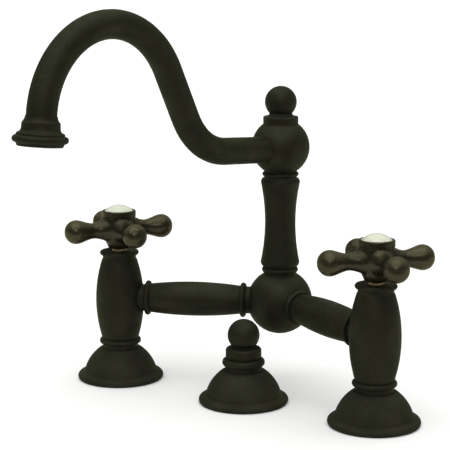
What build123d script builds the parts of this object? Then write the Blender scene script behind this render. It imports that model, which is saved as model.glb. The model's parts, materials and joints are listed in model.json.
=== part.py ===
from build123d import *
import math
import os

# Bridge bathroom faucet: two valve columns, a V-shaped bridge, a waisted post and a swivel gooseneck.
# Millimetres. X runs from the left column to the right one, Y to the back, Z up.
# The origin lies on the deck, midway between the two valve columns.

# Layout
valve_spacing = 203.2        # 8 in between the valve columns
hub_setback = 50.8           # the ball hub stands this far behind the columns
bridge_height = 58.4         # axis of the bridge arms above the deck
spout_heading_angle = 8.2    # degrees that the spout is swung from straight ahead
rod_offset_x = 4.6           # the lift rod from the midpoint of the columns
rod_offset_y = -3.7
left_handle_angle = -33.1    # plan angle of the front handle arm, from +X
right_handle_angle = -39.9

# Clearances
running_gap = 0.08           # shaft in its bore, radial
face_gap = 0.10              # between flat faces that turn on each other
moving_gap = 0.30            # between other faces of different bodies
passing_gap = 0.30           # piece passed through a hole

# Deck flange
flange_r = 30.2
flange_foot_r = 28.8
flange_rim_height = 4.2
dome_foot_r = 25.6
dome_foot_height = 5.6
dome_bulge = 1.75            # how far the dome stands out from its chord
dome_top_r = 14.6
dome_groove = 0.3            # depth of the groove between rim and dome
dome_lip = 0.6               # bevel round the top of the dome
flange_height = 22.3
flange_wall = 3.0
flange_foot_width = 2.2
gasket_thickness = 2.4
gasket_width = 5.6

# Valve column
column_neck_r = 12.4
foot_bead_r = 14.6
foot_bead_start = 2.9        # heights from here to barrel_start are above the flange
foot_bead_end = 6.9
barrel_start = 7.1
barrel_foot_r = 12.8
barrel_r = 16.85
barrel_top_r = 12.4
barrel_edge = 0.2            # bevel at the barrel's foot
barrel_top = 85.6            # heights above the deck
barrel_shoulder = 1.0
column_top_neck_r = 11.7
column_top = 88.6
waterway_r = 5.5

# Shank and deck fixings
shank_r = 11.0
shank_spigot_r = 9.0
shank_spigot_length = 11.7
socket_relief = 0.5          # free space past the end of the spigot
deck_thickness = 25.0        # deck that the fixings are drawn up to
shank_below_deck = 44.0
supply_end_r = 10.4
supply_end_length = 18.0
washer_r = 19.0
washer_thickness = 2.0
shank_nut_across_flats = 32.0
shank_nut_height = 9.0
edge_chamfer = 0.8

# Headwork
chamber_r = 9.5
seat_height = 46.0
seal_thickness = 1.6
housing_r = 7.6
housing_cavity_r = 6.6
housing_thread_start = 74.0
housing_neck_r = 8.0
gland_r = 5.2
gland_rise = 1.3             # above the bonnet collar
disc_thickness = 3.6
moving_disc_thickness = 3.2
disc_port_r = 1.9
disc_port_offset = 3.4
window_width = 6.0
window_height = 5.0
stem_foot_height = 3.5
stem_r = 4.0
spline_r = 3.6

# Bonnet collar
bonnet_r = 13.65
bonnet_height = 3.5
bonnet_foot_bevel = 0.5
bonnet_crest_share = 0.6     # part of the height at which the ring is widest
bonnet_inset = 1.0           # top edge in from the widest radius
bonnet_lip = 1.7

# Cross handle
handle_gap = 0.5             # between the headwork's gland and the handle
handle_foot_r = 7.6
handle_arm_rise = 13.4       # axis of the arms above the handle's foot
handle_waist_r = 12.2
handle_waist_drop = 2.6      # below the axis of the arms
handle_top_r = 12.0
handle_shoulder = 9.2        # top of the hub above the axis of the arms
arm_root_at = 7.5            # along the arm, from the handle's axis
arm_root_r = 8.2
arm_flare_at = 14.0          # end of the root's flare
arm_flare_r = 6.05
arm_neck_at = 18.3
arm_neck_r = 5.2
arm_hollow = 0.05            # how far the arm is hollowed between its neck and its end
arm_ball_r = 8.5
arm_ball_start_share = 0.3   # where the ball begins before its centre, as a part of its radius
arm_tip_at = 39.8
arm_blend = 2.5              # fillet where the arms grow out of the hub
cup_depth = 6.3
cup_r = 8.5
cup_web = 3.0                # between the cup's floor and the end of the spindle
screw_r = 2.0
screw_head_r = 4.4
screw_head_height = 2.6
screw_length = 10.0
screw_slot_width = 1.0
screw_slot_depth = 1.0

# Porcelain button and its bezel
bezel_r = 11.87
bezel_height = 4.4
bezel_spigot = 2.8
bezel_bore_r = 7.2
bezel_foot_bevel = 0.5
bezel_rounding = 1.2
bezel_rim_drop = 0.4         # inner edge of the ring below its top
button_r = 9.8
button_edge = 2.4
button_dome = 4.0
button_seat = 1.7            # floor of the button's recess above the handle

# Bridge arms: distances along the arm from the column's axis, the inner collar's from the ball's centre
arm_end_neck_r = 9.5
arm_bore_r = 6.5
socket_floor = 11.5
outer_collar_start = 18.6
outer_collar_end = 22.1
bridge_barrel_start_r = 10.1
bridge_barrel_r = 12.0
bridge_barrel_end_r = 9.9
inner_collar_start = 27.7
inner_collar_end = 23.9
collar_r = 12.2
collar_foot_r = 10.4

# Ball hub and post
hub_r = 22.75
hub_chamber_r = 13.0
hub_socket_floor = 17.0      # from the ball's centre
hub_seat_r = 11.4
ring_bead_r = 12.6
ring_neck_r = 11.2
ring_bead_start_share = 0.18 # heights as parts of the ring's own
ring_bead_crest_share = 0.5
ring_bead_end_share = 0.82
lower_ring_height = 6.2
post_spigot_r = 9.0
post_spigot_length = 6.0
post_foot_r = 13.55
post_waist_r = 10.6
post_height = 60.9
post_rim_height = 2.4
post_rim_inset = 0.8
post_rim_rounding = 0.15
post_bore_r = 6.5

# Spout swivel
swivel_washer_thickness = 0.8
swivel_ring_height = 4.6
swivel_ring_r = 11.35
nipple_r = 8.0
nipple_bore_r = 5.5
nipple_depth = 20.0          # below the post's top
nipple_thread = 7.6          # screwed into the upper ball
oring_wire_r = 0.7
oring_slack = 0.2            # groove wider than its ring
oring_depths = (7.0, 12.0)
clip_outer_r = 8.6
clip_inner_r = 7.2
clip_thickness = 0.9
clip_opening_angle = 60.0    # degrees
undercut_r = 8.9
undercut_depth = 18.0        # its top below the post's top
undercut_length = 9.0

# Upper ball and finial
spout_hub_r = 20.0
spout_hub_chamber_r = 11.5
spout_socket_floor = 13.5
finial_collar_r = 12.1
finial_seat_r = 11.7
finial_collar_height = 5.0
finial_collar_lip = 0.6
finial_boss_r = 8.0
finial_boss_height = 2.4
finial_boss_foot = 1.5       # cove at the foot of the boss
finial_boss_cove = 2.0
finial_boss_hollow = 0.35
finial_r = 10.95
finial_stud_r = 3.0
finial_stud_length = 12.0

# Gooseneck: a rising run, a bend up, a straight leg and the arch over to the outlet
tube_r = 9.05
tube_bore_r = 7.5
spout_rise_angle = 4.2       # degrees
spout_start_drop = 1.8       # axis of the tube below the ball's centre, at the post's axis
rising_run = 58.9            # from the post's axis to the first bend
first_bend_r = 45.8
leg_angle = 62.7
leg_length = 35.7
arch_r = 55.9
outlet_angle = -84.5
outlet_run = 3.6             # straight tube above the outlet shell

# Outlet, measured down along its axis from the top of the shell
outlet_flare_height = 3.4    # thin cove that leads from the tube out to the shell's top
outlet_flare_edge = 0.4
outlet_flare_hollow = 0.3
outlet_collar_r = 11.2
outlet_collar_height = 3.9
outlet_collar_flare = 0.3
outlet_edge = 0.4            # bevels at the shell's top and foot
outlet_cove = 2.2            # height of the cove between collar and step
outlet_cove_hollow = 0.35
outlet_step_start_r = 12.9
outlet_step_rounding = 0.55
outlet_step_r = 14.2
outlet_step_height = 4.0
outlet_bead_r = 16.5
outlet_bead_height = 4.4
outlet_foot_r = 13.6
outlet_height = 14.3
tube_socket = 6.2
shell_ledge = 7.0
aerator_chamber_r = 11.2
aerator_seal_thickness = 1.4
aerator_seal_width = 3.0
aerator_r = 11.0
aerator_thickness = 5.4
aerator_hole_r = 0.9
aerator_row_spacing = 2.9
aerator_rows = 3

# Lift rod
rod_r = 2.38
rod_below_deck = 140.0
guide_r = 7.0
guide_bore_r = 3.0
guide_below_deck = 42.0
guide_thread = 9.7           # screwed up into the cap
cap_bead_start = 2.7         # heights above the flange from here to cap_top
cap_bead_r = 14.35
cap_bead_end = 8.0
cap_groove_r = 11.4
cap_groove_height = 0.8
cap_r = 12.0
cap_rim = 13.8
cap_top = 15.5
cap_top_r = 10.0
cap_rounding = (0.8, 0.45)   # arc of the rounded top, in from the rim and below the top
knob_r = 10.75
knob_seat_r = 7.8
knob_foot_r = 9.5
knob_foot_rise = 0.9         # cove between the foot and the ball
knob_foot_hollow = 0.2
knob_socket = 11.0
rod_washer_r = 16.0
rod_nut_across_flats = 22.0
rod_nut_height = 6.0

# Worked out from the values above
column_x = valve_spacing / 2
arm_span = math.hypot(column_x, hub_setback)
arm_angle = math.degrees(math.atan2(hub_setback, column_x))
arm_headings = {"left": arm_angle, "right": 180 - arm_angle}   # plan direction from column to hub
seal_top = seat_height + seal_thickness
fixed_disc_top = seal_top + disc_thickness
moving_disc_bottom = fixed_disc_top + face_gap
moving_disc_top = moving_disc_bottom + moving_disc_thickness
stem_foot_top = moving_disc_top + stem_foot_height
cavity_top = stem_foot_top + moving_gap
bonnet_top = column_top + bonnet_height
gland_height = bonnet_top + gland_rise
handle_foot = gland_height + handle_gap
handle_arm_height = handle_foot + handle_arm_rise
handle_top = handle_arm_height + handle_shoulder
cup_floor = handle_top - cup_depth
stem_top = cup_floor - cup_web
hub_seat = bridge_height + math.sqrt(hub_r**2 - hub_seat_r**2)
post_foot = hub_seat + lower_ring_height
post_top = post_foot + post_height
clip_top = post_top - undercut_depth - moving_gap
swivel_washer_top = post_top + swivel_washer_thickness
swivel_ring_foot = swivel_washer_top + face_gap
ball_seat = swivel_ring_foot + swivel_ring_height
spout_hub_height = ball_seat + math.sqrt(spout_hub_r**2 - swivel_ring_r**2)
finial_seat = spout_hub_height + math.sqrt(spout_hub_r**2 - finial_seat_r**2)
finial_foot = finial_seat + finial_collar_height + finial_boss_height
finial_height = finial_foot + math.sqrt(finial_r**2 - finial_boss_r**2)
cap_height = flange_height + cap_top
guide_top = flange_height + guide_thread
knob_foot = cap_height + face_gap
knob_height = knob_foot + knob_foot_rise + math.sqrt(knob_r**2 - knob_seat_r**2)

column_places = {"left": Pos(-column_x, 0, 0), "right": Pos(column_x, 0, 0)}
handle_angles = {"left": left_handle_angle, "right": right_handle_angle}
hub_place = Pos(0, hub_setback, 0)
rod_place = Pos(rod_offset_x, rod_offset_y, 0)
spout_place = hub_place * Rot(0, 0, -90 - spout_heading_angle)  # turns the spout's own X to its heading
tube_axis = Pos(0, 0, spout_hub_height - spout_start_drop) * Rot(0, 90 - spout_rise_angle, 0)
parts = {}


def turned(start, *moves):
    """A solid turned about Z from (radius, height) points; a pair of points is an arc through the first."""
    with BuildPart() as part:
        with BuildSketch(Plane.XZ):
            with BuildLine():
                here = start
                for move in moves + (start,):
                    if isinstance(move[0], tuple):
                        ThreePointArc(here, *move)
                        here = move[1]
                    else:
                        Line(here, move)
                        here = move
            make_face()
        revolve(axis=Axis.Z)
    return part.part


def bulged(start, end, height):
    """Arc, for turned(), from start to end that stands out to the right of its chord by a height."""
    length = math.hypot(end[0] - start[0], end[1] - start[1])
    out_r = height * (end[1] - start[1]) / length
    out_z = height * (start[0] - end[0]) / length
    return ((start[0] + end[0]) / 2 + out_r, (start[1] + end[1]) / 2 + out_z), end


def crown(edge_r, edge_height, top):
    """Arc, for turned(), from a point at the edge of a dome to its top on the axis."""
    rise = top - edge_height
    radius = (edge_r**2 + rise**2) / (2 * rise)
    half = math.asin(edge_r / radius) / 2
    return (radius * math.sin(half), top - radius * (1 - math.cos(half))), (0, top)


def ring(outer_r, inner_r, bottom, top):
    """A plain ring about Z between two heights."""
    return turned((inner_r, bottom), (outer_r, bottom), (outer_r, top), (inner_r, top))


def rod(radius, bottom, top):
    """A plain round bar on Z between two heights."""
    return Pos(0, 0, bottom) * Cylinder(radius, top - bottom, align=(Align.CENTER, Align.CENTER, Align.MIN))


def hex_nut(across_flats, bore_r, bottom, height):
    """A hexagon nut on Z with its corners turned down."""
    blank = extrude(RegularPolygon(across_flats / 2, 6, major_radius=False), height)
    corner_r = across_flats / math.sqrt(3)
    turned_blank = rod(corner_r, 0, height)
    turned_blank = chamfer(turned_blank.edges().filter_by(GeomType.CIRCLE), edge_chamfer)
    return Pos(0, 0, bottom) * ((blank & turned_blank) - rod(bore_r, 0, height))


def deck_flange(hole_r):
    """Domed flange with a rounded rim, hollow underneath."""
    dome_foot = (dome_foot_r, dome_foot_height)
    dome_top = (dome_top_r, flange_height - dome_lip)
    roof = (dome_top_r - flange_wall, flange_height - flange_wall)
    hollow_foot = (dome_foot_r - flange_wall, gasket_thickness)
    hollow_r = flange_foot_r - flange_foot_width
    return turned(
        (flange_foot_r, 0),
        ((flange_r, flange_rim_height / 2), (flange_foot_r, flange_rim_height)),
        (dome_foot_r + dome_groove / 2, dome_foot_height - dome_groove),
        dome_foot,
        bulged(dome_foot, dome_top, dome_bulge),
        (dome_top_r - 3 * dome_lip, flange_height),
        (hole_r, flange_height),
        (hole_r, roof[1]),
        roof,
        bulged(roof, hollow_foot, -dome_bulge),
        (hollow_r, gasket_thickness),
        (hollow_r, 0),
    )


def column_body(arm_heading):
    """Barrel-shaped column with a beaded foot, a waterway, the headwork's chamber and the arm's socket."""
    barrel_foot = flange_height + barrel_start
    socket_top = flange_height + shank_spigot_length + socket_relief
    body = turned(
        (shank_spigot_r, flange_height),
        (column_neck_r, flange_height),
        (column_neck_r, flange_height + foot_bead_start),
        (
            (foot_bead_r, flange_height + (foot_bead_start + foot_bead_end) / 2),
            (column_neck_r, flange_height + foot_bead_end),
        ),
        (column_neck_r, barrel_foot - barrel_edge),
        (barrel_foot_r, barrel_foot),
        ((barrel_r, (barrel_foot + barrel_top) / 2), (barrel_top_r, barrel_top)),
        (column_top_neck_r, barrel_top + barrel_shoulder),
        (column_top_neck_r, column_top),
        (chamber_r, column_top),
        (chamber_r, seat_height),
        (waterway_r, seat_height),
        (waterway_r, socket_top),
        (shank_spigot_r, socket_top),
    )
    toward_hub = Pos(0, 0, bridge_height) * Rot(0, 0, arm_heading) * Rot(0, 90, 0)
    body -= toward_hub * rod(arm_bore_r, 0, barrel_r)
    return body - toward_hub * rod(arm_end_neck_r, socket_floor, 2 * barrel_r)


def shank():
    """Tube through the deck: a spigot in the column, a thread for the nut and an end for the supply."""
    supply_top = -shank_below_deck
    supply_bottom = supply_top - supply_end_length
    return turned(
        (waterway_r, supply_bottom),
        (supply_end_r - edge_chamfer, supply_bottom),
        (supply_end_r, supply_bottom + edge_chamfer),
        (supply_end_r, supply_top),
        (shank_r, supply_top),
        (shank_r, flange_height),
        (shank_spigot_r, flange_height),
        (shank_spigot_r, flange_height + shank_spigot_length),
        (waterway_r, flange_height + shank_spigot_length),
    )


def bonnet_collar():
    """Rounded ring on top of the column, with a lip that closes in round the gland."""
    crest = column_top + bonnet_height * bonnet_crest_share
    return turned(
        (housing_neck_r, column_top),
        (column_top_neck_r, column_top),
        (column_top_neck_r + bonnet_foot_bevel, column_top + bonnet_foot_bevel),
        ((bonnet_r, crest), (bonnet_r - bonnet_inset, bonnet_top)),
        (gland_r, bonnet_top),
        (gland_r, bonnet_top - bonnet_lip),
        (housing_neck_r, bonnet_top - bonnet_lip),
    )


def cartridge_housing():
    """Brass headwork body: disc cavity, outlet windows, thread in the column and gland on top."""
    body = turned(
        (housing_cavity_r, seal_top),
        (housing_r, seal_top),
        (housing_r, housing_thread_start),
        (chamber_r, housing_thread_start),
        (chamber_r, column_top),
        (housing_neck_r, column_top),
        (housing_neck_r, bonnet_top - bonnet_lip),
        (gland_r, bonnet_top - bonnet_lip),
        (gland_r, gland_height),
        (stem_r + running_gap, gland_height),
        (stem_r + running_gap, cavity_top),
        (housing_cavity_r, cavity_top),
    )
    window = Box(4 * housing_r, window_width, window_height, align=(Align.CENTER, Align.CENTER, Align.MIN))
    return body - Pos(0, 0, moving_disc_bottom) * window


def disc(radius, bottom, thickness):
    """Ceramic disc with two round ports."""
    plate = rod(radius, bottom, bottom + thickness)
    for side in (-1, 1):
        plate -= Pos(side * disc_port_offset, 0, 0) * rod(disc_port_r, bottom, bottom + thickness)
    return plate


def valve_stem():
    """Spindle: a foot that drives the moving disc, a round shaft and a splined end under the screw."""
    foot_r = housing_cavity_r - moving_gap
    stem = rod(foot_r, moving_disc_top, stem_foot_top)
    stem += rod(stem_r, stem_foot_top, handle_foot)
    stem += rod(spline_r, handle_foot, stem_top)
    return stem - rod(screw_r, cup_floor - screw_length, stem_top)


def handle_screw():
    """Pan-head screw down the middle of the handle."""
    head_top = cup_floor + screw_head_height
    head = rod(screw_head_r, cup_floor, head_top)
    head = chamfer(head.edges().group_by(Axis.Z)[-1], edge_chamfer)
    slot = Pos(0, 0, head_top) * Box(2 * screw_head_r, screw_slot_width, 2 * screw_slot_depth)
    return head + rod(screw_r, cup_floor - screw_length, cup_floor) - slot


def cross_handle():
    """Four teardrop arms on a flared hub, with a cup for the button on top."""
    hub = Rot(0, 0, 45) * turned(   # turned so that its seam lies between two arms
        (0, handle_foot),
        (handle_foot_r, handle_foot),
        ((handle_waist_r, handle_arm_height - handle_waist_drop), (handle_top_r, handle_top)),
        (0, handle_top),
    )
    ball_at = arm_tip_at - arm_ball_r
    ball_start = ball_at - arm_ball_r * arm_ball_start_share
    ball_start_r = math.sqrt(arm_ball_r**2 - (ball_at - ball_start) ** 2)
    taper_middle = ((arm_neck_r + ball_start_r) / 2 - arm_hollow, (arm_neck_at + ball_start) / 2)
    arm = turned(
        (0, arm_root_at),
        (arm_root_r, arm_root_at),
        ((arm_flare_r, arm_flare_at), (arm_neck_r, arm_neck_at)),
        (taper_middle, (ball_start_r, ball_start)),
        ((arm_ball_r, ball_at), (0, arm_tip_at)),
    )
    for quarter in range(4):
        hub += Rot(0, 0, 90 * quarter) * Pos(0, 0, handle_arm_height) * Rot(0, 90, 0) * arm
    joins = [edge for edge in hub.edges() if handle_foot < edge.center().Z < handle_top
             and edge.geom_type not in (GeomType.CIRCLE, GeomType.LINE)]
    hub = fillet(joins, arm_blend)
    hub -= rod(spline_r, handle_foot, stem_top)
    hub -= rod(screw_r, stem_top, cup_floor)
    return hub - rod(cup_r, cup_floor, handle_top)


def button_bezel():
    """Ring round the porcelain button, with a spigot in the handle's cup."""
    bezel_top = handle_top + bezel_height
    rounded = bezel_rounding * (1 - math.sqrt(0.5))
    return turned(
        (bezel_bore_r, handle_top - bezel_spigot),
        (cup_r, handle_top - bezel_spigot),
        (cup_r, handle_top),
        (bezel_r - bezel_foot_bevel, handle_top),
        (bezel_r, handle_top + bezel_foot_bevel),
        (bezel_r, bezel_top - bezel_rounding),
        ((bezel_r - rounded, bezel_top - rounded), (bezel_r - bezel_rounding, bezel_top)),
        (button_r, bezel_top - bezel_rim_drop),
        (button_r, handle_top + button_seat),
        (bezel_bore_r, handle_top + button_seat),
    )


def porcelain_button():
    """Shallow porcelain dome with a straight edge."""
    foot = handle_top + button_seat
    shoulder = foot + button_edge
    return turned(
        (0, foot),
        (button_r, foot),
        (button_r, shoulder),
        crown(button_r, shoulder, shoulder + button_dome),
    )


def bridge_arm():
    """Barrel-shaped tube along Z from the column's socket to the ball's."""
    barrel_end = arm_span - inner_collar_start
    barrel_middle = (outer_collar_end + barrel_end) / 2
    arm_end = arm_span - hub_socket_floor
    return turned(
        (arm_bore_r, socket_floor),
        (arm_end_neck_r, socket_floor),
        (arm_end_neck_r, outer_collar_end),
        (bridge_barrel_start_r, outer_collar_end),
        ((bridge_barrel_r, barrel_middle), (bridge_barrel_end_r, barrel_end)),
        (arm_end_neck_r, barrel_end),
        (arm_end_neck_r, arm_end),
        (arm_bore_r, arm_end),
    )


def arm_collar(start, end):
    """Beaded ring round the neck of a bridge arm."""
    return turned(
        (arm_end_neck_r, start),
        (collar_foot_r, start),
        ((collar_r, (start + end) / 2), (collar_foot_r, end)),
        (arm_end_neck_r, end),
    )


def hub_ball():
    """Hollow ball, open for the post above and for the two arms at its sides."""
    ball = turned(
        (0, -hub_r),
        ((hub_r, 0), (hub_seat_r, hub_seat - bridge_height)),
        (post_spigot_r, hub_seat - bridge_height),
        (post_spigot_r, math.sqrt(hub_chamber_r**2 - post_spigot_r**2)),
        ((hub_chamber_r, 0), (0, -hub_chamber_r)),
    )
    for heading in arm_headings.values():
        toward_column = Rot(0, 0, heading + 180) * Rot(0, 90, 0)
        ball -= toward_column * rod(arm_bore_r, 0, hub_r)
        ball -= toward_column * rod(arm_end_neck_r, hub_socket_floor, 2 * hub_r)
    return ball


def beaded_ring(bore_r, foot_r, bottom, height):
    """Turned ring with a bead between two short necks."""
    shares = (ring_bead_start_share, ring_bead_crest_share, ring_bead_end_share)
    bead_start, bead_crest, bead_end = (bottom + height * share for share in shares)
    return turned(
        (bore_r, bottom),
        (foot_r, bottom),
        (foot_r, bead_start),
        ((ring_bead_r, bead_crest), (ring_neck_r, bead_end)),
        (ring_neck_r, bottom + height),
        (bore_r, bottom + height),
    )


def spout_post():
    """Waisted post with a spigot in the ball hub and a stepped bore for the swivel."""
    spigot_foot = hub_seat - post_spigot_length
    rim_foot = (post_foot_r - post_rim_inset, post_foot)
    rim_end = (post_foot_r, post_foot + post_rim_height)
    rim_start = (post_foot_r, post_top - post_rim_height)
    rim_top = (post_foot_r - post_rim_inset, post_top)
    undercut_top = post_top - undercut_depth
    return turned(
        (post_bore_r, spigot_foot),
        (post_spigot_r, spigot_foot),
        (post_spigot_r, post_foot),
        rim_foot,
        bulged(rim_foot, rim_end, post_rim_rounding),
        ((post_waist_r, (post_foot + post_top) / 2), rim_start),
        bulged(rim_start, rim_top, post_rim_rounding),
        (nipple_r + running_gap, post_top),
        (nipple_r + running_gap, undercut_top),
        (undercut_r, undercut_top),
        (undercut_r, undercut_top - undercut_length),
        (post_bore_r, undercut_top - undercut_length),
    )


def swivel_nipple():
    """Tube that the spout turns on, with grooves for two seals and a clip."""
    bottom = post_top - nipple_depth
    nipple = ring(nipple_r, nipple_bore_r, bottom, ball_seat + nipple_thread)
    half_groove = oring_wire_r + oring_slack / 2
    cutter_r = 2 * nipple_r
    for depth in oring_depths:
        middle = post_top - depth
        nipple -= ring(cutter_r, nipple_r - 2 * oring_wire_r, middle - half_groove, middle + half_groove)
    return nipple - ring(cutter_r, clip_inner_r, clip_top - clip_thickness, clip_top)


def swivel_orings():
    """Two rubber rings in the nipple's grooves."""
    rubber_ring = Torus(nipple_r - oring_wire_r, oring_wire_r)
    return Compound(children=[Pos(0, 0, post_top - depth) * rubber_ring for depth in oring_depths])


def swivel_clip():
    """Open spring ring that keeps the nipple down under the post's ledge."""
    clip = ring(clip_outer_r, clip_inner_r, clip_top - clip_thickness, clip_top)
    reach = 2 * clip_outer_r
    half = math.tan(math.radians(clip_opening_angle / 2)) * reach
    wedge = extrude(Polygon((0, 0), (reach, -half), (reach, half), align=None), clip_thickness)
    return clip - Pos(0, 0, clip_top - clip_thickness) * wedge


def spout_hub():
    """Upper ball: seated on the swivel ring, with sockets for the nipple, the tube and the finial."""
    chamber_foot = spout_hub_height - math.sqrt(spout_hub_chamber_r**2 - nipple_r**2)
    chamber_top = spout_hub_height + math.sqrt(spout_hub_chamber_r**2 - finial_stud_r**2)
    ball = Rot(0, 0, 90) * turned(   # turned so that its seam lies beside the tube's socket
        (nipple_r, ball_seat),
        (swivel_ring_r, ball_seat),
        ((spout_hub_r, spout_hub_height), (finial_seat_r, finial_seat)),
        (finial_stud_r, finial_seat),
        (finial_stud_r, chamber_top),
        ((spout_hub_chamber_r, spout_hub_height), (nipple_r, chamber_foot)),
    )
    ball -= tube_axis * rod(tube_bore_r, 0, spout_hub_r)
    return ball - tube_axis * rod(tube_r, spout_socket_floor, 2 * spout_hub_r)


def finial_collar():
    """Stepped collar with a small boss that the finial sits on."""
    top = finial_seat + finial_collar_height
    boss_foot = (finial_boss_r + finial_boss_foot, top)
    boss_start = (finial_boss_r, top + finial_boss_cove)
    return turned(
        (finial_stud_r, finial_seat),
        (finial_collar_r, finial_seat),
        (finial_collar_r, top - finial_collar_lip),
        (finial_collar_r - finial_collar_lip, top),
        boss_foot,
        bulged(boss_foot, boss_start, -finial_boss_hollow),
        (finial_boss_r, finial_foot),
        (finial_stud_r, finial_foot),
    )


def seated_ball(radius, centre, foot):
    """Solid ball cut flat where it sits."""
    ball = Pos(0, 0, centre) * Sphere(radius)
    return ball - rod(radius, foot - radius, foot)


def finial_ball():
    """Ball with a threaded stud down through its collar."""
    ball = seated_ball(finial_r, finial_height, finial_foot)
    return ball + rod(finial_stud_r, finial_foot - finial_stud_length, finial_foot)


def straight(start, slope, length):
    """A straight run of the gooseneck in its own plane; gives its end and its edge."""
    end = (start[0] + length * math.cos(slope), start[1] + length * math.sin(slope))
    return end, Line((start[0], 0, start[1]), (end[0], 0, end[1]))


def bend(start, slope, radius, new_slope):
    """An arc of the gooseneck from one slope to another; gives its end and its edge."""
    side = math.copysign(radius, new_slope - slope)
    centre = (start[0] - side * math.sin(slope), start[1] + side * math.cos(slope))
    middle, end = (
        (centre[0] + side * math.sin(turn), centre[1] - side * math.cos(turn))
        for turn in ((slope + new_slope) / 2, new_slope)
    )
    return end, ThreePointArc((start[0], 0, start[1]), (middle[0], 0, middle[1]), (end[0], 0, end[1]))


def gooseneck():
    """The bent tube, and the frame at the top of its outlet shell with Z along the flow."""
    rise, leg, fall = (math.radians(angle) for angle in (spout_rise_angle, leg_angle, outlet_angle))
    at, _ = straight((0, spout_hub_height - spout_start_drop), rise, spout_socket_floor)
    mouth = Plane(origin=(at[0], 0, at[1]), z_dir=(math.cos(rise), 0, math.sin(rise)))
    at, rising = straight(at, rise, rising_run - spout_socket_floor)
    at, first_bend = bend(at, rise, first_bend_r, leg)
    at, upright = straight(at, leg, leg_length)
    at, arch = bend(at, leg, arch_r, fall)
    shell_top, drop = straight(at, fall, outlet_run)
    _, into_shell = straight(shell_top, fall, tube_socket)
    path = Wire([rising, first_bend, upright, arch, drop, into_shell])
    tube = sweep(mouth * Circle(tube_r), path=path) - sweep(mouth * Circle(tube_bore_r), path=path)
    outlet = Plane(origin=(shell_top[0], 0, shell_top[1]), z_dir=(math.cos(fall), 0, math.sin(fall)))
    return tube, outlet.location


def outlet_shell():
    """Stepped and beaded shell round the end of the tube, open below for the aerator."""
    flare_top = (tube_r, -outlet_flare_height)
    flare_edge = (tube_r + outlet_flare_edge, -outlet_flare_height)
    collar_foot = (outlet_collar_r + outlet_collar_flare, outlet_collar_height)
    step_start = (outlet_step_start_r, outlet_collar_height + outlet_cove)
    step_foot = outlet_collar_height + outlet_step_height
    bead_foot = step_foot + outlet_bead_height
    return turned(
        flare_top,
        flare_edge,
        bulged(flare_edge, (outlet_collar_r - outlet_edge, 0), -outlet_flare_hollow),
        (outlet_collar_r, outlet_edge),
        collar_foot,
        bulged(collar_foot, step_start, -outlet_cove_hollow),
        bulged(step_start, (outlet_step_r, step_foot), outlet_step_rounding),
        ((outlet_bead_r, (step_foot + bead_foot) / 2), (outlet_step_r, bead_foot)),
        (outlet_foot_r, outlet_height - outlet_edge),
        (outlet_foot_r - outlet_edge, outlet_height),
        (aerator_chamber_r, outlet_height),
        (aerator_chamber_r, shell_ledge),
        (tube_r, shell_ledge),
    )


def aerator_insert():
    """Round plastic insert with rings of small holes."""
    top = shell_ledge + aerator_seal_thickness
    insert = rod(aerator_r, top, top + aerator_thickness)
    insert -= rod(aerator_hole_r, top, top + aerator_thickness)
    for row in range(1, aerator_rows + 1):
        holes = PolarLocations(row * aerator_row_spacing, 6 * row)
        insert -= [hole * rod(aerator_hole_r, top, top + aerator_thickness) for hole in holes]
    return insert


def lift_rod_cap():
    """Beaded guide cap, screwed on the threaded guide, that the knob rests on."""
    bead_start, bead_end = flange_height + cap_bead_start, flange_height + cap_bead_end
    return turned(
        (guide_r, flange_height),
        (column_neck_r, flange_height),
        (column_neck_r, bead_start),
        ((cap_bead_r, (bead_start + bead_end) / 2), (cap_groove_r, bead_end)),
        (cap_groove_r, bead_end + cap_groove_height),
        (cap_r, bead_end + cap_groove_height + cap_r - cap_groove_r),
        (cap_r, flange_height + cap_rim),
        ((cap_r - cap_rounding[0], cap_height - cap_rounding[1]), (cap_top_r, cap_height)),
        (rod_r + running_gap, cap_height),
        (rod_r + running_gap, guide_top),
        (guide_r, guide_top),
    )


def lift_rod_knob():
    """Ball knob on a coved foot that rests on the cap, with a socket for the rod."""
    seat = (knob_seat_r, knob_foot + knob_foot_rise)
    return turned(
        (rod_r, knob_foot),
        (knob_foot_r, knob_foot),
        bulged((knob_foot_r, knob_foot), seat, -knob_foot_hollow),
        ((knob_r, knob_height), (0, knob_height + knob_r)),
        (0, knob_foot + knob_socket),
        (rod_r, knob_foot + knob_socket),
    )


def add(name, solid, place=Pos(0, 0, 0)):
    """Keeps one piece under its node name, at its place in the faucet."""
    parts[name] = place * solid


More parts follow.
